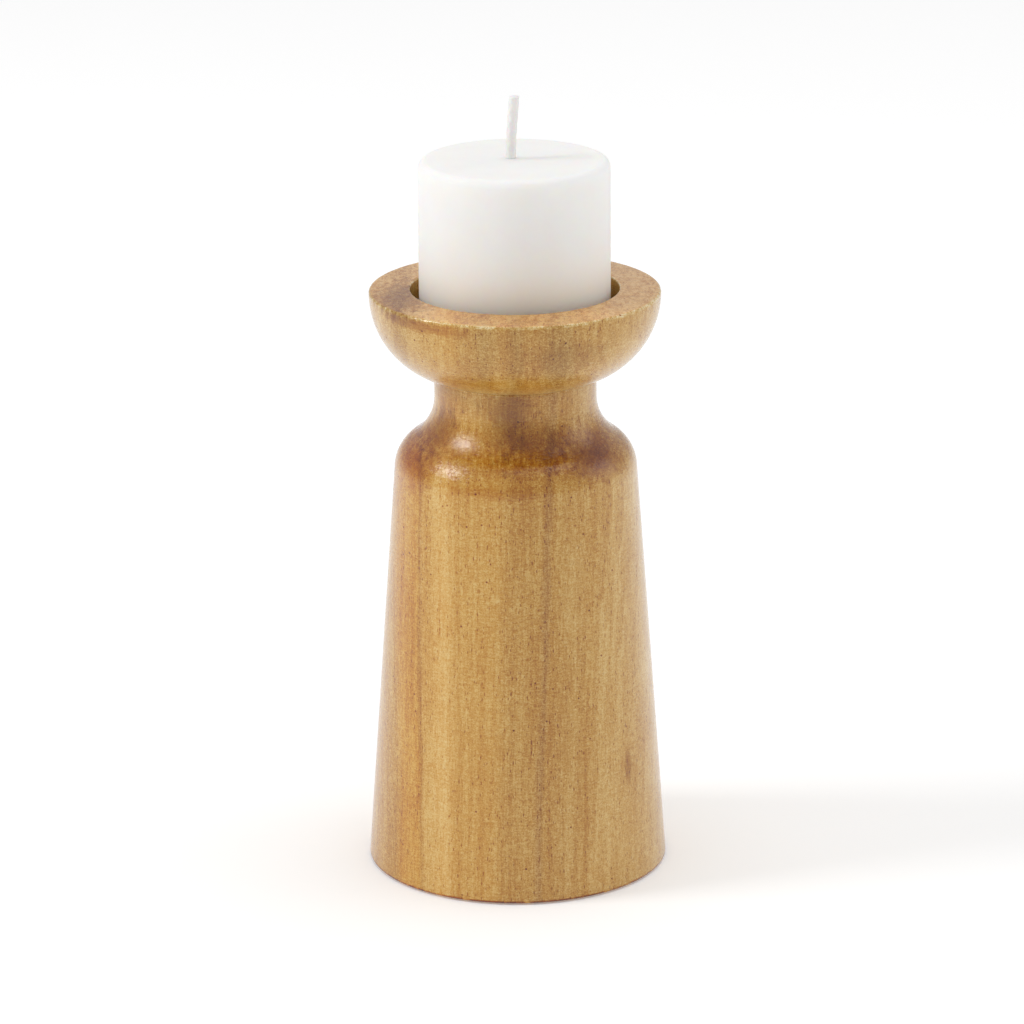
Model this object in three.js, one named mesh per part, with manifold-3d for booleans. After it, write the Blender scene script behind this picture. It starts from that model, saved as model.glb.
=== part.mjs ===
// Turned wooden candle holder with its pillar candle.
// Millimetres, +Z up. The origin is the centre of the felt pad's underside, on the table top.
// The holder is a tapered stem with a waisted neck and a dished cup whose tenon is glued into the stem.

import * as THREE from 'three';
import { mergeVertices } from 'three/addons/utils/BufferGeometryUtils.js';
import Module from 'manifold-3d';

// Stem
const BASE_RADIUS = 39.8;
const BASE_CHAMFER = 0.5;
const TAPER_HEIGHT = 108.6; // from the stem's underside up to the shoulder
const SHOULDER_RADIUS = 31.9; // where the taper meets the shoulder's round
const SHOULDER_ROUND = 10.3;
const COVE_ROUND = 12.85;
const NECK_RADIUS = 21.3;
const NECK_LENGTH = 6.0; // the straight stretch above the cove

// Felt pad, let into the stem's underside
const PAD_MARGIN = 4.8; // the ring of wood left round the felt
const PAD_THICKNESS = 1.6;
const PAD_PROUD = 0.4; // how far the wood stands off the table

// Cup
const CUP_HEIGHT = 23.15; // from the joint to the rim's inner edge
const CUP_OVERHANG = 0.35; // how far the cup's foot stands out over the neck
const RIM_WIDTH = 10.85; // from the seat's wall out to the cup's side
const RIM_FALL = 0.4; // how much lower the rim's outer edge is than its inner edge
const RIM_ROUND = 0.7;
const SEAT_DEPTH = 15.85;
const SEAT_EDGE_ROUND = 0.5;
const SEAT_FILLET = 1.0;
const TENON_RADIUS = 10.0;
const TENON_LENGTH = 18.0;
const TENON_CHAMFER = 1.0;

// Candle
const CANDLE_RADIUS = 25.0;
const CANDLE_HEIGHT = 50.0;
const CANDLE_TOP_ROUND = 2.2;
const CANDLE_FOOT_ROUND = 1.0;
const CANDLE_CLEARANCE = 2.25; // between the candle's side and the seat's wall
const COLLAR_OF_WAX_RADIUS = 3.2; // the wax drawn up round the wick
const COLLAR_OF_WAX_HEIGHT = 0.6;

// Wick and its tab
const WICK_RADIUS = 1.3;
const WICK_EXPOSED = 16.4; // above the candle's top face
const WICK_OFFSET = -0.95; // along X, from the candle's axis
const WICK_LEAN = 1.05; // along X, from where it leaves the wax to its tip
const WICK_BOW = 0.12; // sideways, halfway up the exposed length
const TAB_RADIUS = 7.5;
const TAB_THICKNESS = 0.4;
const TAB_COLLAR_WALL = 0.5;
const TAB_COLLAR_HEIGHT = 3.5;

const FIT_GAP = 0.3; // all round a piece that sits in another
const GLUE_ROOM = 1.0; // below the tenon's end

const LATHE_SEGMENTS = 72;
const SMALL_LATHE_SEGMENTS = 32;
const WICK_SIDES = 12;
const WICK_STEPS = 16;
const ARC_STEPS = 8;
const ROUND_STEPS = 3;

// Radii and heights worked out from the sizes above
const padRadius = BASE_RADIUS - PAD_MARGIN;
const seatRadius = CANDLE_RADIUS + CANDLE_CLEARANCE;
const rimRadius = seatRadius + RIM_WIDTH;
const stemBottom = PAD_PROUD;
const taperStart = stemBottom + BASE_CHAMFER;
const taperEnd = stemBottom + TAPER_HEIGHT;
const taperLean = Math.atan2(BASE_RADIUS - SHOULDER_RADIUS, taperEnd - taperStart);
// The shoulder turns inward from the taper's lean until the cove's round can bring it back upright.
const shoulderLean = Math.acos(
  (SHOULDER_ROUND * Math.cos(taperLean) + COVE_ROUND - (SHOULDER_RADIUS - NECK_RADIUS)) /
    (SHOULDER_ROUND + COVE_ROUND),
);
const coveStart = taperEnd + SHOULDER_ROUND * (Math.sin(shoulderLean) - Math.sin(taperLean));
const coveEnd = coveStart + COVE_ROUND * Math.sin(shoulderLean);
const joint = coveEnd + NECK_LENGTH;
const rim = joint + CUP_HEIGHT;
const seat = rim - SEAT_DEPTH;
const candleTop = seat + CANDLE_HEIGHT;

const wasm = await Module();
wasm.setup();

const point = (radius, height) => new THREE.Vector2(radius, height);

/** Points on a circular arc about (radius, height), between two angles in radians. */
function arc(radius, height, size, from, to, steps = ARC_STEPS) {
  return Array.from({ length: steps + 1 }, (_, i) => {
    const angle = from + ((to - from) * i) / steps;
    return point(radius + size * Math.cos(angle), height + size * Math.sin(angle));
  });
}

/** A solid of revolution about Z. The outline starts and ends on the axis, or closes on itself. */
function turned(outline, segments = LATHE_SEGMENTS) {
  const apart = (p, i) => i === 0 || p.distanceTo(outline[i - 1]) > 1e-6;
  return new THREE.LatheGeometry(outline.filter(apart), segments).rotateX(Math.PI / 2);
}

/** The wick's centre line: straight in the wax, then leaning and slightly bowed above it. */
function wickPath() {
  return new THREE.CatmullRomCurve3([
    new THREE.Vector3(WICK_OFFSET, 0, seat),
    new THREE.Vector3(WICK_OFFSET, 0, (seat + candleTop) / 2),
    new THREE.Vector3(WICK_OFFSET, 0, candleTop),
    new THREE.Vector3(WICK_OFFSET + WICK_LEAN / 2 - WICK_BOW, 0, candleTop + WICK_EXPOSED / 2),
    new THREE.Vector3(WICK_OFFSET + WICK_LEAN, 0, candleTop + WICK_EXPOSED),
  ]);
}

/** A round bar of the given radius along the wick's centre line. */
function wickBar(radius) {
  const section = new THREE.Shape(
    Array.from({ length: WICK_SIDES }, (_, i) => {
      const angle = (2 * Math.PI * i) / WICK_SIDES;
      return point(radius * Math.cos(angle), radius * Math.sin(angle));
    }),
  );
  return new THREE.ExtrudeGeometry(section, { steps: WICK_STEPS, extrudePath: wickPath() });
}

function toSolid(geometry) {
  const bare = geometry.clone();
  bare.deleteAttribute('normal');
  bare.deleteAttribute('uv');
  const merged = mergeVertices(bare);
  const vertProperties = new Float32Array(merged.attributes.position.array);
  const triVerts = new Uint32Array(merged.index.array);
  return new wasm.Manifold(new wasm.Mesh({ numProp: 3, vertProperties, triVerts }));
}

function toGeometry(solid) {
  const { vertProperties, triVerts } = solid.getMesh();
  const geometry = new THREE.BufferGeometry();
  geometry.setAttribute('position', new THREE.BufferAttribute(vertProperties, 3));
  geometry.setIndex(new THREE.BufferAttribute(triVerts, 1));
  geometry.computeVertexNormals();
  return geometry;
}

function stem() {
  const padCeiling = PAD_THICKNESS;
  const padHoleRadius = padRadius + FIT_GAP;
  const shoulderCentre = point(
    SHOULDER_RADIUS - SHOULDER_ROUND * Math.cos(taperLean),
    taperEnd - SHOULDER_ROUND * Math.sin(taperLean),
  );
  const socketRadius = TENON_RADIUS + FIT_GAP;
  const socketFloor = joint - TENON_LENGTH - GLUE_ROOM;
  return turned([
    point(0, padCeiling),
    point(padHoleRadius, padCeiling),
    point(padHoleRadius, stemBottom),
    point(BASE_RADIUS - BASE_CHAMFER, stemBottom),
    point(BASE_RADIUS, taperStart),
    ...arc(shoulderCentre.x, shoulderCentre.y, SHOULDER_ROUND, taperLean, shoulderLean),
    ...arc(NECK_RADIUS + COVE_ROUND, coveEnd, COVE_ROUND, Math.PI + shoulderLean, Math.PI),
    point(NECK_RADIUS, joint),
    point(socketRadius, joint),
    point(socketRadius, socketFloor),
    point(0, socketFloor),
  ]);
}

function basePad() {
  return turned([
    point(0, 0),
    point(padRadius, 0),
    point(padRadius, PAD_THICKNESS),
    point(0, PAD_THICKNESS),
  ]);
}

/** The cup's side is one arc that leaves the foot outward and is upright where it meets the rim. */
function cup() {
  const footRadius = NECK_RADIUS + CUP_OVERHANG;
  const sideTop = rim - RIM_FALL - RIM_ROUND;
  const reach = rimRadius - footRadius;
  const rise = sideTop - joint;
  const sideRound = (reach ** 2 + rise ** 2) / (2 * reach);
  const footAngle = Math.atan2(-rise, sideRound - reach);
  const tenonEnd = joint - TENON_LENGTH;
  const wallTop = point(seatRadius + SEAT_EDGE_ROUND, rim - SEAT_EDGE_ROUND);
  const wallFoot = point(seatRadius - SEAT_FILLET, seat + SEAT_FILLET);
  const quarter = Math.PI / 2;
  return turned([
    point(0, tenonEnd),
    point(TENON_RADIUS - TENON_CHAMFER, tenonEnd),
    point(TENON_RADIUS, tenonEnd + TENON_CHAMFER),
    point(TENON_RADIUS, joint),
    point(footRadius, joint),
    ...arc(rimRadius - sideRound, sideTop, sideRound, footAngle, 0),
    ...arc(rimRadius - RIM_ROUND, sideTop, RIM_ROUND, 0, quarter, ROUND_STEPS),
    ...arc(wallTop.x, wallTop.y, SEAT_EDGE_ROUND, quarter, Math.PI, ROUND_STEPS),
    ...arc(wallFoot.x, wallFoot.y, SEAT_FILLET, 0, -quarter, ROUND_STEPS),
    point(0, seat),
  ]);
}

/** The candle's body, with the hole that the wick fills and the pocket that its tab is pressed into. */
function candleWax() {
  const quarter = Math.PI / 2;
  const footEdge = CANDLE_RADIUS - CANDLE_FOOT_ROUND;
  const topEdge = CANDLE_RADIUS - CANDLE_TOP_ROUND;
  const body = turned([
    point(0, seat),
    ...arc(footEdge, seat + CANDLE_FOOT_ROUND, CANDLE_FOOT_ROUND, -quarter, 0, ROUND_STEPS),
    ...arc(topEdge, candleTop - CANDLE_TOP_ROUND, CANDLE_TOP_ROUND, 0, quarter, ARC_STEPS),
    point(0, candleTop),
  ]);
  const collarBase = candleTop - COLLAR_OF_WAX_HEIGHT;
  const collar = turned(
    [
      point(0, collarBase),
      point(COLLAR_OF_WAX_RADIUS, collarBase),
      point(COLLAR_OF_WAX_RADIUS, candleTop),
      point(WICK_RADIUS + FIT_GAP, candleTop + COLLAR_OF_WAX_HEIGHT),
      point(0, candleTop + COLLAR_OF_WAX_HEIGHT),
    ],
    SMALL_LATHE_SEGMENTS,
  ).translate(WICK_OFFSET, 0, 0);
  const collarHoleRadius = WICK_RADIUS + FIT_GAP + TAB_COLLAR_WALL + FIT_GAP;
  const below = seat - GLUE_ROOM;
  const tabPocket = turned(
    [
      point(0, below),
      point(TAB_RADIUS + FIT_GAP, below),
      point(TAB_RADIUS + FIT_GAP, seat + TAB_THICKNESS + FIT_GAP),
      point(collarHoleRadius, seat + TAB_THICKNESS + FIT_GAP),
      point(collarHoleRadius, seat + TAB_COLLAR_HEIGHT + FIT_GAP),
      point(0, seat + TAB_COLLAR_HEIGHT + FIT_GAP),
    ],
    SMALL_LATHE_SEGMENTS,
  ).translate(WICK_OFFSET, 0, 0);
  const wickHole = toSolid(wickBar(WICK_RADIUS + FIT_GAP));
  return toGeometry(toSolid(body).add(toSolid(collar)).subtract(toSolid(tabPocket)).subtract(wickHole));
}

/** A thin disc with a crimped collar round the wick's lower end. */
function wickTab() {
  const boreRadius = WICK_RADIUS + FIT_GAP;
  const collarRadius = boreRadius + TAB_COLLAR_WALL;
  const outline = [
    point(boreRadius, seat),
    point(TAB_RADIUS, seat),
    point(TAB_RADIUS, seat + TAB_THICKNESS),
    point(collarRadius, seat + TAB_THICKNESS),
    point(collarRadius, seat + TAB_COLLAR_HEIGHT),
    point(boreRadius, seat + TAB_COLLAR_HEIGHT),
    point(boreRadius, seat),
  ];
  return turned(outline, SMALL_LATHE_SEGMENTS).translate(WICK_OFFSET, 0, 0);
}

function piece(name, geometry, color, roughness, metalness = 0) {
  const mesh = new THREE.Mesh(geometry, new THREE.MeshStandardMaterial({ color, roughness, metalness }));
  mesh.name = name;
  return mesh;
}

const candleHolder = new THREE.Group();
candleHolder.add(
  piece('stem', stem(), 0xc89a5c, 0.4),
  piece('cup', cup(), 0xc79a60, 0.4),
  piece('base_pad', basePad(), 0x3a2a22, 0.95),
  piece('candle_wax', candleWax(), 0xf3f1ec, 0.5),
  piece('wick', wickBar(WICK_RADIUS), 0xefece4, 0.8),
  piece('wick_tab', wickTab(), 0xb9bbbd, 0.35, 0.9),
);

export default candleHolder;
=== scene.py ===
"""Looks of the turned wooden candle holder and its pillar candle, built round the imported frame.

Metres, +Z up, in the frame's own axes. Every piece is turned or swept in mesh code, rides on its
body, and has a node material written in object coordinates, so the wood's figure is solid.
"""

import math

import bmesh
import bpy
from mathutils import Matrix, Vector, noise


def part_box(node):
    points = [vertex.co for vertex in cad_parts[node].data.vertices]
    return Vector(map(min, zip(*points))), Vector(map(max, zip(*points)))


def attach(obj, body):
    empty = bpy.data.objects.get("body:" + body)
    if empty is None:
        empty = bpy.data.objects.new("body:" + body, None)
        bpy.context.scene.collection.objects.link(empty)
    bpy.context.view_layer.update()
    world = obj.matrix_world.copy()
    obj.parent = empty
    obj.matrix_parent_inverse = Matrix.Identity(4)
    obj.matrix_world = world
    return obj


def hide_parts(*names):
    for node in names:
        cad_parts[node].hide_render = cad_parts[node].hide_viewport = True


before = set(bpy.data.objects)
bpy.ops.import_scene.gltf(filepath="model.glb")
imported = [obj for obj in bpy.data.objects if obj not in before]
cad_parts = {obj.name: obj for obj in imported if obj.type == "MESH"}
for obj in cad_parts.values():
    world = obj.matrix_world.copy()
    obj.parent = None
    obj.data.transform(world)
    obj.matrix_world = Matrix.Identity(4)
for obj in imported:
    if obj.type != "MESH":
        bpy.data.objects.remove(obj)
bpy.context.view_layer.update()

# Camera
CAMERA_PLACE = (0.0, -1.2341, 0.4853)
CAMERA_PITCH = math.radians(17.529)
CAMERA_YAW = math.radians(0.05)
CAMERA_ROLL = math.radians(-0.332)
CAMERA_LENS = 172.46
CAMERA_SENSOR = 36.0
CAMERA_CLIP = (0.05, 50.0)

# Studio. Lights: name, direction from the aim, distance, size, and power in watts.
LIGHT_AIM = (0.0, 0.0, 0.1)
LIGHTS = [
    ("key_left", (-0.76, -0.12, 0.64), 2.2, 0.62, 14.5),
    ("fill_right", (0.9, 0.1, 0.35), 2.4, 1.6, 6.5),
    ("top", (0.15, 0.05, 0.98), 2.2, 1.8, 13.5),
]
WORLD_LIGHT = 0.53
FLOOR_HALF = 6.0
FLOOR_GLOW = 0.2

# Stem
STEM_SEGMENTS = 288
STEM_STEP = 0.0011
TAPER_HEIGHT = 0.1086
SHOULDER_RADIUS = 0.0319
SHOULDER_ROUND = 0.0103
COVE_ROUND = 0.01285
NECK_RADIUS = 0.0213
BASE_ARRIS = 0.0005
NECK_ARRIS = 0.0003
PAD_ROOM = 0.0003
SOCKET_RADIUS = 0.0103
SOCKET_DEPTH = 0.019

# Cup
CUP_SEGMENTS = 384
CUP_STEP = 0.0009
CUP_FOOT_RADIUS = 0.02165
CUP_HEIGHT = 0.02315
RIM_FALL = 0.0004
RIM_ROUND = 0.0007
SEAT_RADIUS = 0.02725
SEAT_DEPTH = 0.01585
SEAT_EDGE_ROUND = 0.0005
SEAT_FILLET = 0.001
TENON_RADIUS = 0.01
TENON_CHAMFER = 0.001
FOOT_ARRIS = 0.00025
FOOT_ARRIS_END = -0.3  # the angle at which the foot's arris meets the side
SIDE_START = 0.015  # the angle that the arris takes from the side's arc

# Marks of turning and wear: each wave has a size and a seed.
TURNING_ERROR = 0.00006
STEM_WAVE = (0.03, 1.7)
CUP_WAVE = (0.025, 3.3)
CHIP_DEPTH = 0.00035
CHIP_REACH = 0.0007
CHIP_DROP = 0.6  # how far a chip goes down, as a share of how far it goes in
CHIP_WAVE = (0.0016, 5.1)
CHIP_GROUP_WAVE = (0.006, 9.4)
CHIP_GROUPING = 0.6
CHIP_THRESHOLD = 0.15

# Candle
CANDLE_SEGMENTS = 256
CANDLE_STEP = 0.0008
CANDLE_TOP_ROUND = 0.0022
CANDLE_FOOT_ROUND = 0.001
CANDLE_RIPPLE = 0.00012
CANDLE_WAVE = (0.02, 7.9)
WAX_COLLAR_RADIUS = 0.0034
WAX_COLLAR_HEIGHT = 0.0006
WAX_COLLAR_FALL = 2.2
WAX_COLLAR_CALM = 2  # the ripple is back in full this many collar radii from the wick
TAB_POCKET = 0.0003

# Wick
WICK_RADIUS = 0.00142
WICK_EXPOSED = 0.0164
WICK_OFFSET = -0.00095
WICK_LEAN = 0.00105
WICK_BOW = 0.00012
WICK_SIDES = 48
WICK_STEP = 0.0002
WICK_STRANDS = 4
WICK_PITCH = 0.0032
WICK_RELIEF = 0.00012
WICK_LUMP = 0.00006
WICK_WAVE = (0.0016, 4.2)
WICK_TIP = 0.35  # the tip's round, in wick radii
WICK_TIP_START = 0.02
WICK_TIP_NARROWING = 0.14

# The wick's tab
TAB_SEGMENTS = 96
TAB_STEP = 0.0003
TAB_RADIUS = 0.0075
TAB_THICKNESS = 0.0004
TAB_COLLAR_RADIUS = 0.0021
TAB_COLLAR_FILLET = 0.0004
TAB_COLLAR_LIP = 0.00015
TAB_BORE_RADIUS = 0.0016
TAB_BORE_FLOOR = 0.0002
TAB_RING = (0.55, 0.62, 0.69)  # inner edge, crest and outer edge of the pressed ring, in tab radii
TAB_RING_HEIGHT = 0.0001
TAB_CRIMPS = 4
TAB_CRIMP_DEPTH = 0.00012
TAB_CRIMP_SHARPNESS = 4

# Felt
FELT_SEGMENTS = 192
FELT_STEP = 0.0009
FELT_ROUND = 0.0005
FELT_RELIEF = 0.00012
FELT_WAVE = (0.0025, 6.6)

QUARTER = math.pi / 2
SAME_POINT = 1e-7


def arc(radius, height, size, start, end, steps):
    """Outline points on an arc about (radius, height), between two angles."""
    angles = [start + (end - start) * i / steps for i in range(steps + 1)]
    return [(radius + size * math.cos(a), height + size * math.sin(a)) for a in angles]


def refined(outline, step):
    """The same outline with points added, so that neighbours are at most a step apart."""
    points = [outline[0]]
    for (r0, z0), (r1, z1) in zip(outline, outline[1:]):
        length = math.hypot(r1 - r0, z1 - z0)
        if length < SAME_POINT:
            continue
        count = max(1, math.ceil(length / step))
        points += [(r0 + (r1 - r0) * i / count, z0 + (z1 - z0) * i / count) for i in range(1, count + 1)]
    return points


def mesh_object(name, vertices, faces):
    """A smooth-shaded object from vertices and faces, with its normals turned outward."""
    mesh = bpy.data.meshes.new(name)
    mesh.from_pydata(vertices, [], faces)
    shape = bmesh.new()
    shape.from_mesh(mesh)
    bmesh.ops.recalc_face_normals(shape, faces=shape.faces)
    shape.to_mesh(mesh)
    shape.free()
    for face in mesh.polygons:
        face.use_smooth = True
    made = bpy.data.objects.new(name, mesh)
    bpy.context.scene.collection.objects.link(made)
    return made


def lathe(name, outline, segments, shape, centre=0.0):
    """Turns an outline about the vertical line x = centre. It starts and ends on that line.

    shape(radius, height, angle) returns the radius and height that a point ends up at.
    """
    vertices = [(centre, 0.0, outline[0][1])]
    for radius, height in outline[1:-1]:
        for i in range(segments):
            angle = 2 * math.pi * i / segments
            r, z = shape(radius, height, angle)
            vertices.append((centre + r * math.cos(angle), r * math.sin(angle), z))
    vertices.append((centre, 0.0, outline[-1][1]))
    last = len(vertices) - 1
    faces = []
    for i in range(segments):
        j = (i + 1) % segments
        faces.append((0, 1 + i, 1 + j))
        faces.append((last, last - segments + j, last - segments + i))
        for ring in range(len(outline) - 3):
            low = 1 + ring * segments
            high = low + segments
            faces.append((low + i, high + i, high + j, low + j))
    return mesh_object(name, vertices, faces)


def wave(radius, angle, height, size, seed):
    """Smooth noise from -1 to 1 on a turned surface, with features of about the given size."""
    place = Vector((radius * math.cos(angle), radius * math.sin(angle), height)) / size
    return noise.noise(place + Vector((seed, 2 * seed, 3 * seed)))


def turning_error(radius, angle, height, size, seed):
    """How far the turned wood falls short of its outline."""
    return TURNING_ERROR * (0.5 + 0.5 * wave(radius, angle, height, size, seed))


def stem():
    """The tapered body, shoulder, cove and neck, with the felt's recess and the tenon's socket."""
    low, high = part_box("stem")
    pad_low, pad_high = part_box("base_pad")
    base, joint = high[0], high[2]
    bottom = low[2]
    taper_top = bottom + TAPER_HEIGHT
    lean = math.atan2(base - SHOULDER_RADIUS, TAPER_HEIGHT - BASE_ARRIS)
    drop = SHOULDER_ROUND * math.cos(lean) + COVE_ROUND - (SHOULDER_RADIUS - NECK_RADIUS)
    turn = math.acos(drop / (SHOULDER_ROUND + COVE_ROUND))
    shoulder_radius = SHOULDER_RADIUS - SHOULDER_ROUND * math.cos(lean)
    shoulder_height = taper_top - SHOULDER_ROUND * math.sin(lean)
    cove_end = shoulder_height + (SHOULDER_ROUND + COVE_ROUND) * math.sin(turn)
    recess = pad_high[0] + PAD_ROOM
    floor = joint - SOCKET_DEPTH
    outline = [(0.0, pad_high[2]), (recess, pad_high[2]), (recess, bottom)]
    outline += arc(base - BASE_ARRIS, bottom + BASE_ARRIS, BASE_ARRIS, -QUARTER, lean, steps=5)
    outline += arc(shoulder_radius, shoulder_height, SHOULDER_ROUND, lean, turn, steps=28)
    outline += arc(NECK_RADIUS + COVE_ROUND, cove_end, COVE_ROUND, math.pi + turn, math.pi, steps=28)
    outline += arc(NECK_RADIUS - NECK_ARRIS, joint - NECK_ARRIS, NECK_ARRIS, 0, QUARTER, steps=4)
    outline += [(SOCKET_RADIUS, joint), (SOCKET_RADIUS, floor), (0.0, floor)]

    def uneven(radius, height, angle):
        outer = radius > NECK_RADIUS - NECK_ARRIS and height > bottom
        error = turning_error(radius, angle, height, *STEM_WAVE) if outer else 0.0
        return radius - error, height

    return lathe("stem_turned", refined(outline, STEM_STEP), STEM_SEGMENTS, uneven)


def cup():
    """The dished cup with the candle's seat, and the tenon below it."""
    low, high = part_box("cup")
    rim_radius, rim, tenon_end = high[0], high[2], low[2]
    joint = rim - CUP_HEIGHT
    seat = rim - SEAT_DEPTH
    side_top = rim - RIM_FALL - RIM_ROUND
    reach = rim_radius - CUP_FOOT_RADIUS
    rise = side_top - joint
    side = (reach**2 + rise**2) / (2 * reach)
    side_start = math.atan2(-rise, side - reach) + SIDE_START
    foot_centre = (CUP_FOOT_RADIUS - FOOT_ARRIS, joint + FOOT_ARRIS)
    seat_edge = SEAT_RADIUS + SEAT_EDGE_ROUND
    outline = [(0.0, tenon_end), (TENON_RADIUS - TENON_CHAMFER, tenon_end)]
    outline += [(TENON_RADIUS, tenon_end + TENON_CHAMFER), (TENON_RADIUS, joint)]
    outline += arc(*foot_centre, FOOT_ARRIS, -QUARTER, FOOT_ARRIS_END, steps=4)
    outline += arc(rim_radius - side, side_top, side, side_start, 0, steps=48)
    outline += arc(rim_radius - RIM_ROUND, side_top, RIM_ROUND, 0, QUARTER, steps=8)
    outline += arc(seat_edge, rim - SEAT_EDGE_ROUND, SEAT_EDGE_ROUND, QUARTER, math.pi, steps=6)
    outline += arc(SEAT_RADIUS - SEAT_FILLET, seat + SEAT_FILLET, SEAT_FILLET, 0, -QUARTER, steps=6)
    outline += [(0.0, seat)]

    def worn(radius, height, angle):
        away = math.hypot(radius - rim_radius, height - side_top) / CHIP_REACH
        group = CHIP_GROUPING * wave(radius, angle, 0.0, *CHIP_GROUP_WAVE)
        nick = max(0.0, wave(radius, angle, 0.0, *CHIP_WAVE) + group - CHIP_THRESHOLD)
        chip = CHIP_DEPTH * math.exp(-away * away) * min(1.0, nick)
        outer = radius > CUP_FOOT_RADIUS and height > joint
        error = turning_error(radius, angle, height, *CUP_WAVE) if outer else 0.0
        return radius - chip - error, height - CHIP_DROP * chip

    return lathe("cup_turned", refined(outline, CUP_STEP), CUP_SEGMENTS, worn)


def candle():
    """The wax pillar: soft top edge, wax drawn up round the wick, and the tab's pocket in its foot."""
    low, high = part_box("candle_wax")
    radius, seat = high[0], low[2]
    top = high[2] - WAX_COLLAR_HEIGHT
    ceiling = seat + TAB_THICKNESS + TAB_POCKET
    pocket = TAB_RADIUS + TAB_POCKET - WICK_OFFSET
    foot_centre = (radius - CANDLE_FOOT_ROUND, seat + CANDLE_FOOT_ROUND)
    edge_centre = (radius - CANDLE_TOP_ROUND, top - CANDLE_TOP_ROUND)
    outline = [(0.0, ceiling), (pocket, ceiling), (pocket, seat)]
    outline += arc(*foot_centre, CANDLE_FOOT_ROUND, -QUARTER, 0, steps=8)
    outline += arc(*edge_centre, CANDLE_TOP_ROUND, 0, QUARTER, steps=14)
    outline += [(0.0, top)]

    def cast(r, z, angle):
        side = 0.5 - 0.5 * wave(r, angle, z, *CANDLE_WAVE)
        if seat < z < top:
            return r - CANDLE_RIPPLE * side, z
        if z < top:
            return r, z
        away = math.hypot(r * math.cos(angle) - WICK_OFFSET, r * math.sin(angle)) / WAX_COLLAR_RADIUS
        collar = WAX_COLLAR_HEIGHT * math.exp(-WAX_COLLAR_FALL * away * away)
        return r, z - CANDLE_RIPPLE * side * min(1.0, away / WAX_COLLAR_CALM) + collar

    return lathe("candle_body", refined(outline, CANDLE_STEP), CANDLE_SEGMENTS, cast)


def wick_centre(height, top):
    """The wick's centre line at a height: straight in the wax, then leaning and slightly bowed."""
    along = max(0.0, (height - top) / WICK_EXPOSED)
    bow = WICK_BOW * math.sin(math.pi * min(1.0, along))
    return WICK_OFFSET + WICK_LEAN * along - bow


def wick_radius(angle, above_foot, height, below_tip):
    """The braid's crossing strands under lumpy wax, narrowed over a short round at the tip."""
    twist = 2 * math.pi * above_foot / WICK_PITCH
    strand = max(math.cos(WICK_STRANDS * angle + twist), math.cos(WICK_STRANDS * angle - twist))
    lump = wave(WICK_RADIUS, angle, height, *WICK_WAVE)
    radius = WICK_RADIUS - WICK_RELIEF * (0.5 - 0.5 * strand) - WICK_LUMP * (0.5 - 0.5 * lump)
    end = min(1.0, below_tip / (WICK_TIP * WICK_RADIUS) + WICK_TIP_START)
    return radius * (1 - WICK_TIP_NARROWING + WICK_TIP_NARROWING * math.sqrt(1 - (1 - end) ** 2))


def wick():
    """A braided wick under a skin of wax, cut square at its tip."""
    low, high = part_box("wick")
    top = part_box("candle_wax")[1][2] - WAX_COLLAR_HEIGHT
    steps = round((high[2] - low[2]) / WICK_STEP)
    vertices = []
    for step in range(steps + 1):
        height = low[2] + (high[2] - low[2]) * step / steps
        centre = wick_centre(height, top)
        for i in range(WICK_SIDES):
            angle = 2 * math.pi * i / WICK_SIDES
            radius = wick_radius(angle, height - low[2], height, high[2] - height)
            vertices.append((centre + radius * math.cos(angle), radius * math.sin(angle), height))
    faces = [tuple(range(WICK_SIDES)), tuple(range(steps * WICK_SIDES, (steps + 1) * WICK_SIDES))]
    for step in range(steps):
        a = step * WICK_SIDES
        b = a + WICK_SIDES
        for i in range(WICK_SIDES):
            j = (i + 1) % WICK_SIDES
            faces.append((a + i, a + j, b + j, b + i))
    return mesh_object("wick_braid", vertices, faces)


def tab():
    """The tinplate disc with a pressed ring and a collar crimped round the wick."""
    low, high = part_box("wick_tab")
    foot, head = low[2], high[2]
    plate = foot + TAB_THICKNESS
    edge = TAB_THICKNESS / 2
    bore_floor = foot + TAB_BORE_FLOOR
    fillet = TAB_COLLAR_RADIUS + TAB_COLLAR_FILLET
    lip_centre = (TAB_COLLAR_RADIUS - TAB_COLLAR_LIP, head - TAB_COLLAR_LIP)
    ring_start, ring_crest, ring_end = (TAB_RADIUS * share for share in TAB_RING)
    outline = [(0.0, foot), (ring_start, foot), (ring_crest, foot + TAB_RING_HEIGHT), (ring_end, foot)]
    outline += arc(TAB_RADIUS - edge, foot + edge, edge, -QUARTER, QUARTER, steps=8)
    outline += [(fillet, plate)]
    outline += arc(fillet, plate + TAB_COLLAR_FILLET, TAB_COLLAR_FILLET, -QUARTER, -math.pi, steps=5)
    outline += arc(*lip_centre, TAB_COLLAR_LIP, 0, QUARTER, steps=4)
    outline += [(TAB_BORE_RADIUS, head), (TAB_BORE_RADIUS, bore_floor), (0.0, bore_floor)]

    def crimped(radius, height, angle):
        above = max(0.0, (height - plate) / (head - plate))
        pinch = max(0.0, math.cos(TAB_CRIMPS * angle)) ** TAB_CRIMP_SHARPNESS
        return radius - TAB_CRIMP_DEPTH * above * pinch, height

    return lathe("tab_disc", refined(outline, TAB_STEP), TAB_SEGMENTS, crimped, WICK_OFFSET)


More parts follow.
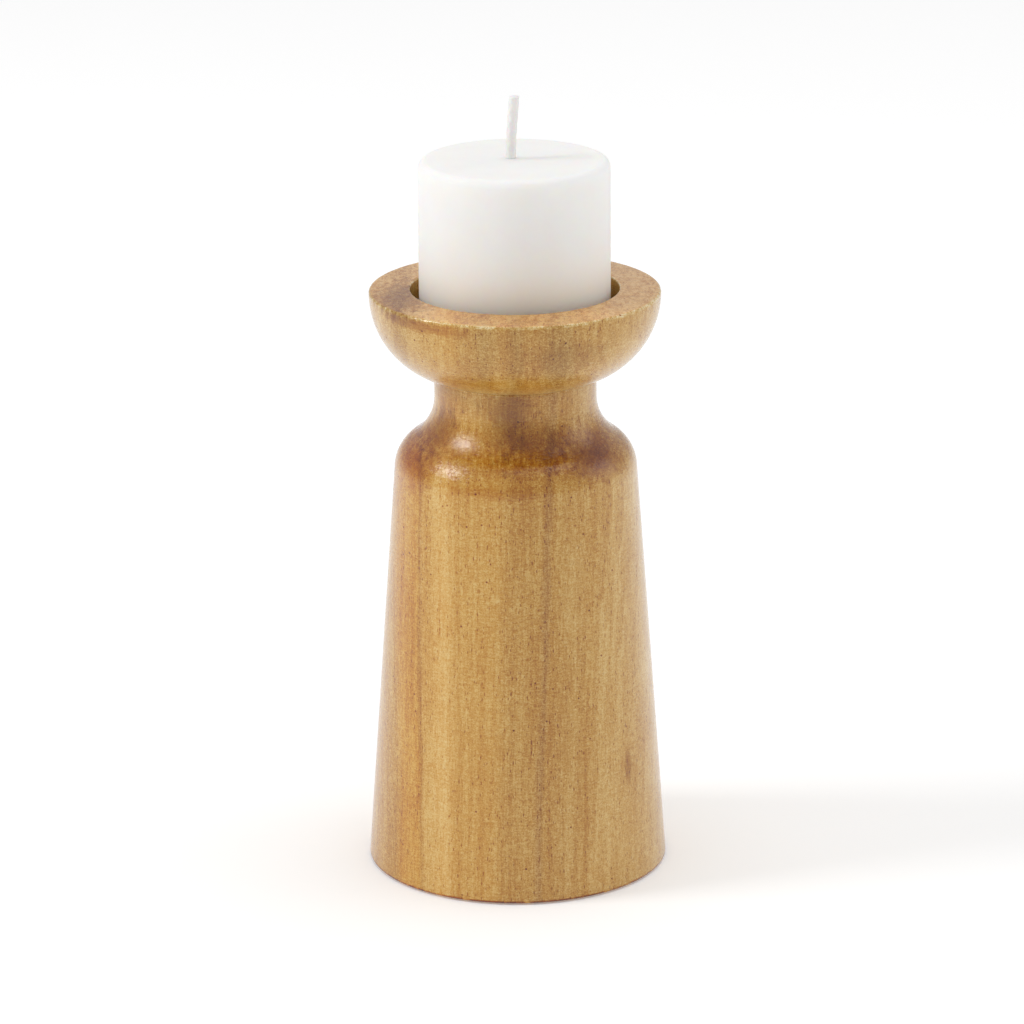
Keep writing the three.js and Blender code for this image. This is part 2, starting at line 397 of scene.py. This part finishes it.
def felt():
    """The felt disc in the stem's underside."""
    low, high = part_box("base_pad")
    radius, bottom, top = high[0], low[2], high[2]
    outline = [(0.0, bottom)]
    outline += arc(radius - FELT_ROUND, bottom + FELT_ROUND, FELT_ROUND, -QUARTER, 0, steps=5)
    outline += arc(radius - FELT_ROUND, top - FELT_ROUND, FELT_ROUND, 0, QUARTER, steps=5)
    outline += [(0.0, top)]

    def woolly(r, z, angle):
        lump = 0.5 + 0.5 * wave(r, angle, z, *FELT_WAVE)
        outward = 1 if z > (bottom + top) / 2 else -1
        return r - FELT_RELIEF * lump * (r > radius - FELT_ROUND), z - outward * FELT_RELIEF * lump

    return lathe("felt_disc", refined(outline, FELT_STEP), FELT_SEGMENTS, woolly)


class Nodes:
    """A material's node tree, written as nested calls."""

    def __init__(self, name):
        self.material = bpy.data.materials.new(name)
        self.material.use_nodes = True
        self.tree = self.material.node_tree
        self.tree.nodes.clear()

    def add(self, kind, inputs=(), **settings):
        made = self.tree.nodes.new("ShaderNode" + kind)
        for key, value in settings.items():
            setattr(made, key, value)
        for key, value in dict(inputs).items():
            if isinstance(value, bpy.types.NodeSocket):
                self.tree.links.new(value, made.inputs[key])
            else:
                made.inputs[key].default_value = value
        return made

    def math(self, operation, *values):
        return self.add("Math", enumerate(values), operation=operation).outputs[0]

    def scaled(self, vector, size):
        return self.add("VectorMath", {0: vector, 1: size}, operation="MULTIPLY").outputs[0]

    def moved(self, vector, offset):
        return self.add("VectorMath", {0: vector, 1: offset}, operation="ADD").outputs[0]

    def length(self, vector):
        return self.add("VectorMath", {0: vector}, operation="LENGTH").outputs["Value"]

    def noise(self, vector, scale, detail, roughness=0.5, distortion=0.0):
        """Noise from 0 to 1, with its scale given for each axis."""
        inputs = {"Vector": self.scaled(vector, scale), "Scale": 1.0, "Detail": detail}
        inputs = {**inputs, "Roughness": roughness, "Distortion": distortion}
        return self.add("TexNoise", inputs).outputs["Fac"]

    def cells(self, vector, scale):
        return self.add("TexVoronoi", {"Vector": self.scaled(vector, scale), "Scale": 1.0}).outputs

    def smooth(self, value, low, high, start=0.0, end=1.0):
        """Smoothstep: start where the value is at low, end where it is at high."""
        inputs = {"Value": value, "From Min": low, "From Max": high, "To Min": start, "To Max": end}
        return self.add("MapRange", inputs, interpolation_type="SMOOTHSTEP").outputs[0]

    def ramp(self, factor, stops):
        made = self.add("ValToRGB", {"Fac": factor})
        made.color_ramp.interpolation = "EASE"
        elements = made.color_ramp.elements
        while len(elements) < len(stops):
            elements.new(0.5)
        for element, (position, colour) in zip(elements, stops):
            element.position = position
            element.color = (*colour, 1.0)
        return made.outputs[0]

    def mix(self, factor, a, b):
        made = self.add("Mix", {0: factor}, data_type="RGBA")
        for socket, value in ((made.inputs[6], a), (made.inputs[7], b)):
            if isinstance(value, bpy.types.NodeSocket):
                self.tree.links.new(value, socket)
            else:
                socket.default_value = (*value, 1.0)
        return made.outputs[2]

    def bump(self, height, strength, distance):
        return self.add("Bump", {"Strength": strength, "Distance": distance, "Height": height}).outputs[0]

    def finish(self, **inputs):
        """Ends the tree in a principled shader. Its sockets are named with _ for each space."""
        sockets = {key.replace("_", " "): value for key, value in inputs.items()}
        shader = self.add("BsdfPrincipled", sockets)
        self.add("OutputMaterial", {"Surface": shader.outputs[0]})
        return self.material


# Wood. All sizes here are in millimetres, and the figure runs along Z.
MM_PER_METRE = (1000.0, 1000.0, 1000.0)
UMBER = (0.42, 0.195, 0.034)
DUSK = (0.475, 0.252, 0.047)
RUSSET = (0.455, 0.19, 0.018)
TAN = (0.515, 0.262, 0.044)
AMBER = (0.57, 0.268, 0.028)
HONEY = (0.605, 0.33, 0.064)
STRAW = (0.69, 0.405, 0.102)
SAND = (0.575, 0.33, 0.079)

# Bands of figure: the place across the grain, and the tone there. The span is half the ramp.
FIGURE_SPAN = 40.0
STEM_BANDS = [
    (-38.0, TAN),
    (-33.0, TAN),
    (-30.0, AMBER),
    (-26.0, AMBER),
    (-25.0, RUSSET),
    (-24.0, HONEY),
    (-18.5, STRAW),
    (-14.5, HONEY),
    (-6.0, HONEY),
    (0.0, TAN),
    (6.4, TAN),
    (8.8, UMBER),
    (10.4, TAN),
    (16.5, SAND),
    (21.0, TAN),
    (25.0, SAND),
    (38.0, SAND),
]
CUP_BANDS = [
    (-38.0, SAND),
    (-29.0, DUSK),
    (-26.0, SAND),
    (-17.0, HONEY),
    (-13.0, TAN),
    (-8.5, DUSK),
    (-4.0, TAN),
    (-0.5, DUSK),
    (3.5, TAN),
    (11.0, DUSK),
    (17.0, TAN),
    (23.0, SAND),
    (38.0, SAND),
]

# Stains, and one patch of painted shade: centre, half-sizes, how much they deepen the colour, and how much
# they dull it.
STEM_STAINS_AND_SHADE = [
    ((-2.0, -23.0, 127.0), (8.0, 14.0, 13.0), 0.5, 0.26),
    ((7.0, -22.0, 121.0), (10.0, 14.0, 7.0), 0.35, 0.12),
    ((21.0, -20.0, 117.5), (13.0, 16.0, 8.0), 0.75, 0.12),
    ((-20.0, -12.0, 122.0), (7.0, 12.0, 8.0), 0.6, 0.3),
    ((-27.0, -16.0, 113.0), (9.0, 13.0, 7.0), 0.45, 0.0),
    ((-6.0, -31.0, 110.2), (19.0, 14.0, 2.4), 0.32, 0.0),
    # Painted shade: the neck's left, darkened under the cup's overhang.
    ((-20.0, -9.0, 131.0), (8.0, 12.0, 9.0), 0.3, 0.18),
    ((29.3, -24.7, 33.0), (1.5, 4.0, 6.0), 0.65, 0.1),
]
CUP_STAINS = [
    ((12.0, -32.0, 147.0), (15.0, 10.0, 8.0), 0.15, 0.15),
    ((-24.0, -28.0, 154.4), (22.0, 16.0, 1.9), 0.6, 0.0),
    ((-16.0, -16.0, 136.5), (6.0, 6.0, 3.0), 0.4, 0.15),
    ((-29.0, -10.0, 157.0), (11.0, 20.0, 4.0), 0.45, 0.3),
]
STAIN_AND_SHADE_FADE = (0.2, 1.1)  # where a stain or the painted shade starts to fade and where it ends, in half-sizes
STAIN_AND_SHADE_BREAKUP = ((0.45, 0.45, 0.2), 4.0, 0.65)
STAIN_AND_SHADE_BREAKUP_GAIN = 2.0
DULLEST = 0.3

# Turned edges, rubbed thin on the rim, elsewhere painted shade, a painted highlight and a painted
# reflection: radius, height, reach, and change of depth.
# Stem: painted shade darkening the foot along the floor, and a painted highlight lightening the neck's top
# arris.
STEM_PAINTED_EDGE_SHADE_AND_HIGHLIGHT = [(39.8, 0.2, 1.1, 3.0), (21.25, 133.65, 0.45, -0.45)]
# Cup: the rim's and seat's edges rubbed thin, then a painted reflection of the floor lightening the bowl's
# underside above the foot.
CUP_EDGE_WEAR_AND_REFLECTION = [(37.9, 156.15, 0.75, -0.4), (27.3, 156.75, 0.5, -0.45), (24.0, 136.0, 5.0, -0.25)]
WEAR_AND_LIGHT_CORE = 0.25  # the share of the reach that is changed in full: worn on the rim, painted shade or light elsewhere
WEAR_AND_LIGHT_PATCHES = ((0.6, 0.6, 0.6), 3.0, 0.7)
WEAR_AND_LIGHT_PATCH_EDGE = (0.3, 0.6)

# How each piece's grain lies: where in the pattern it is cut from, the height at which the bands
# are at their own places, how far they spread and slant for each millimetre below it, and how
# much deeper the end grain is.
STEM_GRAIN = {"offset": (0.0, 0.0, 0.0), "top": 109.0, "spread": 0.0008, "slant": 0.025, "soak": 0.38}
CUP_GRAIN = {"offset": (61.0, 23.0, 47.0), "top": 150.0, "spread": 0.0, "slant": 0.0, "soak": -0.12}

# How the grain wavers: scale per millimetre on each axis, detail, and reach.
DRIFTS = [((0.05, 0.05, 0.012), 1.0, 2.5), ((0.25, 0.25, 0.04), 3.0, 2.5)]

# Patterns: scale per millimetre on each axis, detail, roughness, and how much they deepen the colour.
LINES = ((0.8, 0.15, 0.012), 4.0, 0.65, 0.95)
FIBRES = ((2.6, 2.6, 0.3), 2.0, 0.6, 0.9)
RIPPLE = ((0.55, 0.55, 2.0), 2.0, 0.6, 0.75)
GRIT = ((2.4, 2.4, 3.0), 2.0, 0.7, 1.8)
CLOUD = ((0.1, 0.1, 0.035), 3.0, 0.55, 0.5)
RINGS = ((0.9, 0.4, 0.05), 4.0, 0.75, 2.4)
LIGHTEST = 0.66

# Pores and specks: cells per millimetre on each axis, and how much they deepen the colour.
PORES = ((1.9, 1.9, 0.5), 1.0)
SPECKS = ((3.1, 3.1, 1.9), 0.4)
PORE_SIZES = (0.26, -0.02)  # the range of the pores' radii and the least of them, in cells
PORE_CROWDING = 0.5
PORE_EDGE = (-0.05, 0.07)
PINHOLES = ((0.23, 0.23, 0.23), 2.2)
PINHOLE_EDGE = (0.0375, 0.075)

# How far a face looks up where end grain starts to show and where it is all that shows, then the
# same for the flat rim and seat, which are a little redder.
END_GRAIN = (0.12, 0.9)
FLAT_TOP = (0.85, 0.98)
FLAT_TOP_TINT = (1.15, 1.02, 1.0)

# Relief under the lacquer, and its roughness: the base value, and what ripple and pores add.
PORE_RELIEF = -0.05
RIPPLE_RELIEF = 0.14
GRIT_RELIEF = 0.06
RELIEF_STRENGTH = 0.8
RELIEF_UNIT = 0.001
ROUGHNESS = (0.26, 0.2, 0.2)


def across_grain(nodes, axes, solid, grain):
    """The place across the grain, which spreads and slants downward and wavers."""
    below = nodes.math("SUBTRACT", grain["top"], axes[2])
    across = nodes.math("MULTIPLY_ADD", axes[0], nodes.math("MULTIPLY", below, grain["spread"]), axes[0])
    across = nodes.math("MULTIPLY_ADD", below, grain["slant"], across)
    for scale, detail, reach in DRIFTS:
        drift = nodes.math("SUBTRACT", nodes.noise(solid, scale, detail), 0.5)
        across = nodes.math("MULTIPLY_ADD", drift, reach, across)
    return across


def banded(nodes, across, bands):
    """The bands' tones, as a ramp across the grain."""
    position = nodes.math("DIVIDE", nodes.math("ADD", across, FIGURE_SPAN), 2 * FIGURE_SPAN)
    return nodes.ramp(position, [((u + FIGURE_SPAN) / (2 * FIGURE_SPAN), tone) for u, tone in bands])


def deepened(nodes, depth, vector, pattern):
    """A pattern, and the depth with that pattern in it."""
    *settings, strength = pattern
    mark = nodes.noise(vector, *settings)
    return mark, nodes.math("MULTIPLY_ADD", nodes.math("SUBTRACT", 0.5, mark), strength, depth)


def pores(nodes, solid, lines, scale):
    """Open pores: short dashes along the grain, crowded where the lines are dark."""
    cells = nodes.cells(solid, scale)
    chance = nodes.add("SeparateColor", {0: cells["Color"]}).outputs[0]
    size = nodes.math("MULTIPLY_ADD", chance, *PORE_SIZES)
    size = nodes.math("MULTIPLY_ADD", nodes.math("SUBTRACT", 0.5, lines), PORE_CROWDING, size)
    return nodes.smooth(nodes.math("SUBTRACT", cells["Distance"], size), *PORE_EDGE, 1.0, 0.0)


def grained(nodes, plane, solid, facing_up, soak):
    """How deep the grain's marks are, and the marks that also show in the relief."""
    _, end_depth = deepened(nodes, soak, solid, RINGS)
    depth = nodes.math("MULTIPLY", nodes.smooth(facing_up, *END_GRAIN), end_depth)
    lines, depth = deepened(nodes, depth, plane, LINES)
    _, depth = deepened(nodes, depth, solid, FIBRES)
    ripple, depth = deepened(nodes, depth, solid, RIPPLE)
    grit, depth = deepened(nodes, depth, solid, GRIT)
    _, depth = deepened(nodes, depth, solid, CLOUD)
    pore = pores(nodes, solid, lines, PORES[0])
    speck = pores(nodes, solid, lines, SPECKS[0])
    depth = nodes.math("MULTIPLY_ADD", pore, PORES[1], depth)
    depth = nodes.math("MULTIPLY_ADD", speck, SPECKS[1], depth)
    holes = nodes.cells(solid, PINHOLES[0])
    hole = nodes.smooth(holes["Distance"], *PINHOLE_EDGE, PINHOLES[1], 0.0)
    return nodes.math("ADD", depth, hole), pore, ripple, grit


def stained_and_shaded(nodes, place, solid, stains_and_shade):
    """How far all the stains and the painted shade deepen and dull a place. Each one has a broken edge."""
    breakup = nodes.math("MULTIPLY", nodes.noise(solid, *STAIN_AND_SHADE_BREAKUP), STAIN_AND_SHADE_BREAKUP_GAIN)
    deep = 0.0
    dull = 0.0
    for centre, size, deepening, dulling in stains_and_shade:
        away = nodes.add("VectorMath", {0: place, 1: centre}, operation="SUBTRACT").outputs[0]
        away = nodes.length(nodes.scaled(away, tuple(1.0 / s for s in size)))
        stain_and_shade = nodes.smooth(nodes.math("MULTIPLY", away, breakup), *STAIN_AND_SHADE_FADE, 1.0, 0.0)
        deep = nodes.math("MULTIPLY_ADD", stain_and_shade, deepening, deep)
        dull = nodes.math("MULTIPLY_ADD", stain_and_shade, dulling, dull)
    return deep, dull


def rubbed_and_painted_edges(nodes, place, axes, edges, exponent):
    """Changes the exponent along the turned edges, in patches: worn on the rim, and painted shade, a
    painted highlight and a painted reflection elsewhere.
    """
    radius = nodes.length(nodes.scaled(place, (1.0, 1.0, 0.0)))
    patch = nodes.smooth(nodes.noise(place, *WEAR_AND_LIGHT_PATCHES), *WEAR_AND_LIGHT_PATCH_EDGE)
    for edge_radius, edge_height, reach, change in edges:
        out = nodes.math("SUBTRACT", radius, edge_radius)
        up = nodes.math("SUBTRACT", axes[2], edge_height)
        gap = nodes.length(nodes.add("CombineXYZ", {0: out, 1: up}).outputs[0])
        wear_and_light = nodes.smooth(gap, WEAR_AND_LIGHT_CORE * reach, reach, change, 0.0)
        exponent = nodes.math("MULTIPLY_ADD", wear_and_light, patch, exponent)
    return exponent


def lacquered(nodes, colour, pore, ripple, grit):
    """Satin lacquer over wood of that colour."""
    relief = nodes.math("MULTIPLY", ripple, RIPPLE_RELIEF)
    relief = nodes.math("MULTIPLY_ADD", pore, PORE_RELIEF, relief)
    relief = nodes.math("MULTIPLY_ADD", grit, GRIT_RELIEF, relief)
    bump = nodes.bump(relief, RELIEF_STRENGTH, RELIEF_UNIT)
    least, from_ripple, from_pores = ROUGHNESS
    roughness = nodes.math("MULTIPLY_ADD", ripple, from_ripple, least)
    return nodes.finish(
        Base_Color=colour,
        Roughness=nodes.math("MULTIPLY_ADD", pore, from_pores, roughness),
        Specular_IOR_Level=0.1,
        Normal=bump,
        Coat_Weight=0.9,
        Coat_Roughness=0.12,
        Coat_IOR=1.6,
        Coat_Normal=bump,
    )


def wood(name, bands, stains_and_shade, edges, grain):
    """Turned hardwood: bands of figure along Z, fine lines, ripple and pores.

    Every mark is a power of the band's colour, so it darkens and reddens as deeper lacquer does. The
    painted shade, highlight and reflection in the edge and stain lists are powers too.
    """
    nodes = Nodes(name)
    coordinates = nodes.add("TexCoord").outputs
    place = nodes.scaled(coordinates["Object"], MM_PER_METRE)
    axes = nodes.add("SeparateXYZ", {0: place}).outputs
    facing_up = nodes.add("SeparateXYZ", {0: coordinates["Normal"]}).outputs[2]
    solid = nodes.moved(place, grain["offset"])
    across = across_grain(nodes, axes, solid, grain)
    plane = nodes.add("CombineXYZ", {0: across, 1: axes[1], 2: axes[2]}).outputs[0]
    plane = nodes.moved(plane, grain["offset"])

    depth, pore, ripple, grit = grained(nodes, plane, solid, facing_up, grain["soak"])
    deep, dull = stained_and_shaded(nodes, place, solid, stains_and_shade)
    exponent = nodes.math("ADD", nodes.math("ADD", depth, deep), 1.0)
    exponent = nodes.math("MAXIMUM", exponent, LIGHTEST)
    # Rubbed rim edges, and painted shade, highlight and reflection along the other edges.
    exponent = rubbed_and_painted_edges(nodes, place, axes, edges, exponent)
    clear = nodes.math("MAXIMUM", nodes.math("SUBTRACT", 1.0, dull), DULLEST)
    colour = nodes.add("Gamma", {0: banded(nodes, across, bands), 1: exponent}).outputs[0]
    colour = nodes.scaled(colour, clear)
    redder = nodes.scaled(colour, FLAT_TOP_TINT)
    colour = nodes.mix(nodes.smooth(facing_up, *FLAT_TOP), colour, redder)
    return lacquered(nodes, colour, pore, ripple, grit)


# The other materials, in metres. Patterns: scale per metre on each axis, detail, roughness, distortion.
WAX_MOTTLE = ((120.0, 120.0, 90.0), 3.0)
WAX_BLOOM = ((900.0, 900.0, 900.0), 2.0)
WAX_TONES = ((0.95, 0.94, 0.925), (0.9, 0.89, 0.87))
# Painted light: the wax's foot is warmer, standing in for light bounced off the wood.
WAX_PAINTED_BOUNCE_TONE = (0.95, 0.89, 0.82)
WAX_PAINTED_BOUNCE_HEIGHTS = (0.185, 0.15)  # where the painted warm light from the wood starts at the foot, and where it is full
COTTON_THREAD = ((5000.0, 5000.0, 1500.0), 2.0)
COTTON_TONES = ((0.88, 0.865, 0.835), (0.95, 0.945, 0.93))
FELT_FIBRE = ((1800.0, 1800.0, 1800.0), 4.0, 0.7, 1.5)
FELT_PATCH = ((150.0, 150.0, 150.0), 2.0)
FELT_PATCHINESS = 0.4
FELT_TONES = ((0.025, 0.014, 0.008), (0.1, 0.06, 0.035))
FELT_PATCH_TONE = (0.07, 0.045, 0.03)
TIN_ROLLING = ((300.0, 9000.0, 300.0), 2.0)
TIN_HAZE = ((500.0, 500.0, 500.0), 3.0)
TIN_TONES = ((0.55, 0.55, 0.56), (0.72, 0.72, 0.71))


def wax():
    """White paraffin wax: light scatters a few millimetres into it."""
    nodes = Nodes("paraffin")
    place = nodes.add("TexCoord").outputs["Object"]
    mottle = nodes.noise(place, *WAX_MOTTLE)
    bloom = nodes.noise(place, *WAX_BLOOM)
    height = nodes.add("SeparateXYZ", {0: place}).outputs[2]
    colour = nodes.mix(mottle, *WAX_TONES)
    relief = nodes.math("MULTIPLY_ADD", bloom, 0.3, mottle)
    return nodes.finish(
        # Painted light bounced off the wood: warmer towards the foot.
        Base_Color=nodes.mix(nodes.smooth(height, *WAX_PAINTED_BOUNCE_HEIGHTS), colour, WAX_PAINTED_BOUNCE_TONE),
        Roughness=nodes.math("MULTIPLY_ADD", bloom, 0.2, 0.45),
        Specular_IOR_Level=0.25,
        Subsurface_Weight=0.8,
        Subsurface_Radius=(1.0, 0.75, 0.55),
        Subsurface_Scale=0.007,
        Normal=nodes.bump(relief, strength=0.15, distance=0.0004),
    )


def cotton():
    """Braided cotton soaked in wax."""
    nodes = Nodes("waxed_cotton")
    place = nodes.add("TexCoord").outputs["Object"]
    thread = nodes.noise(place, *COTTON_THREAD)
    return nodes.finish(
        Base_Color=nodes.mix(thread, *COTTON_TONES),
        Roughness=0.55,
        Subsurface_Weight=0.3,
        Subsurface_Scale=0.001,
        Normal=nodes.bump(thread, strength=0.5, distance=0.0001),
    )


def wool_felt():
    """Dark brown pressed felt."""
    nodes = Nodes("pressed_felt")
    place = nodes.add("TexCoord").outputs["Object"]
    fibre = nodes.noise(place, *FELT_FIBRE)
    patch = nodes.math("MULTIPLY", nodes.noise(place, *FELT_PATCH), FELT_PATCHINESS)
    return nodes.finish(
        Base_Color=nodes.mix(patch, nodes.mix(fibre, *FELT_TONES), FELT_PATCH_TONE),
        Roughness=0.95,
        Sheen_Weight=0.3,
        Sheen_Roughness=0.5,
        Normal=nodes.bump(fibre, strength=0.9, distance=0.0003),
    )


def tinplate():
    """Stamped tinplate with fine rolling marks and a little waxy haze."""
    nodes = Nodes("tinplate_sheet")
    place = nodes.add("TexCoord").outputs["Object"]
    rolled = nodes.noise(place, *TIN_ROLLING)
    haze = nodes.noise(place, *TIN_HAZE)
    return nodes.finish(
        Base_Color=nodes.mix(haze, *TIN_TONES),
        Metallic=0.9,
        Roughness=nodes.math("MULTIPLY_ADD", haze, 0.35, 0.2),
        Normal=nodes.bump(rolled, strength=0.3, distance=0.00005),
    )


def paper():
    """The plain pale floor, which glows a little so that it stays white to its edges."""
    return Nodes("floor_paper").finish(
        Base_Color=(0.93, 0.93, 0.93, 1.0),
        Roughness=0.9,
        Emission_Color=(1.0, 1.0, 1.0, 1.0),
        Emission_Strength=FLOOR_GLOW,
    )


def dress(piece, material, body, node):
    """Gives a piece its material and its place in the frame."""
    piece.data.materials.append(material)
    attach(piece, body)
    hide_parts(node)


def area_light(name, direction, distance, size, power):
    light = bpy.data.lights.new(name, "AREA")
    light.shape = "SQUARE"
    light.size = size
    light.energy = power
    lamp = bpy.data.objects.new(name, light)
    away = Vector(direction).normalized()
    turn = away.to_track_quat("Z", "Y").to_matrix().to_4x4()
    lamp.matrix_world = Matrix.Translation(Vector(LIGHT_AIM) + distance * away) @ turn
    bpy.context.scene.collection.objects.link(lamp)


def studio():
    """Even white light from all round, three soft lights, and the floor."""
    world = bpy.data.worlds.new("studio")
    world.use_nodes = True
    background = world.node_tree.nodes["Background"]
    background.inputs["Color"].default_value = (1.0, 1.0, 1.0, 1.0)
    background.inputs["Strength"].default_value = WORLD_LIGHT
    bpy.context.scene.world = world
    for light in LIGHTS:
        area_light(*light)
    corners = [(-1, -1), (1, -1), (1, 1), (-1, 1)]
    floor = mesh_object("floor", [(FLOOR_HALF * x, FLOOR_HALF * y, 0) for x, y in corners], [(0, 1, 2, 3)])
    floor.data.materials.append(paper())
    bpy.context.scene.view_settings.view_transform = "Standard"


def camera():
    lens = bpy.data.cameras.new("camera")
    lens.lens = CAMERA_LENS
    lens.sensor_width = CAMERA_SENSOR
    lens.clip_start, lens.clip_end = CAMERA_CLIP
    made = bpy.data.objects.new("camera", lens)
    turn = Matrix.Rotation(CAMERA_YAW, 4, "Z") @ Matrix.Rotation(QUARTER - CAMERA_PITCH, 4, "X")
    made.matrix_world = Matrix.Translation(CAMERA_PLACE) @ turn @ Matrix.Rotation(CAMERA_ROLL, 4, "Z")
    bpy.context.scene.collection.objects.link(made)
    bpy.context.scene.camera = made


camera()
studio()
stem_wood = wood("stem_lacquered", STEM_BANDS, STEM_STAINS_AND_SHADE, STEM_PAINTED_EDGE_SHADE_AND_HIGHLIGHT, STEM_GRAIN)
cup_wood = wood("cup_lacquered", CUP_BANDS, CUP_STAINS, CUP_EDGE_WEAR_AND_REFLECTION, CUP_GRAIN)
dress(stem(), stem_wood, "holder", "stem")
dress(cup(), cup_wood, "holder", "cup")
dress(felt(), wool_felt(), "holder", "base_pad")
dress(candle(), wax(), "candle", "candle_wax")
dress(wick(), cotton(), "candle", "wick")
dress(tab(), tinplate(), "candle", "wick_tab")
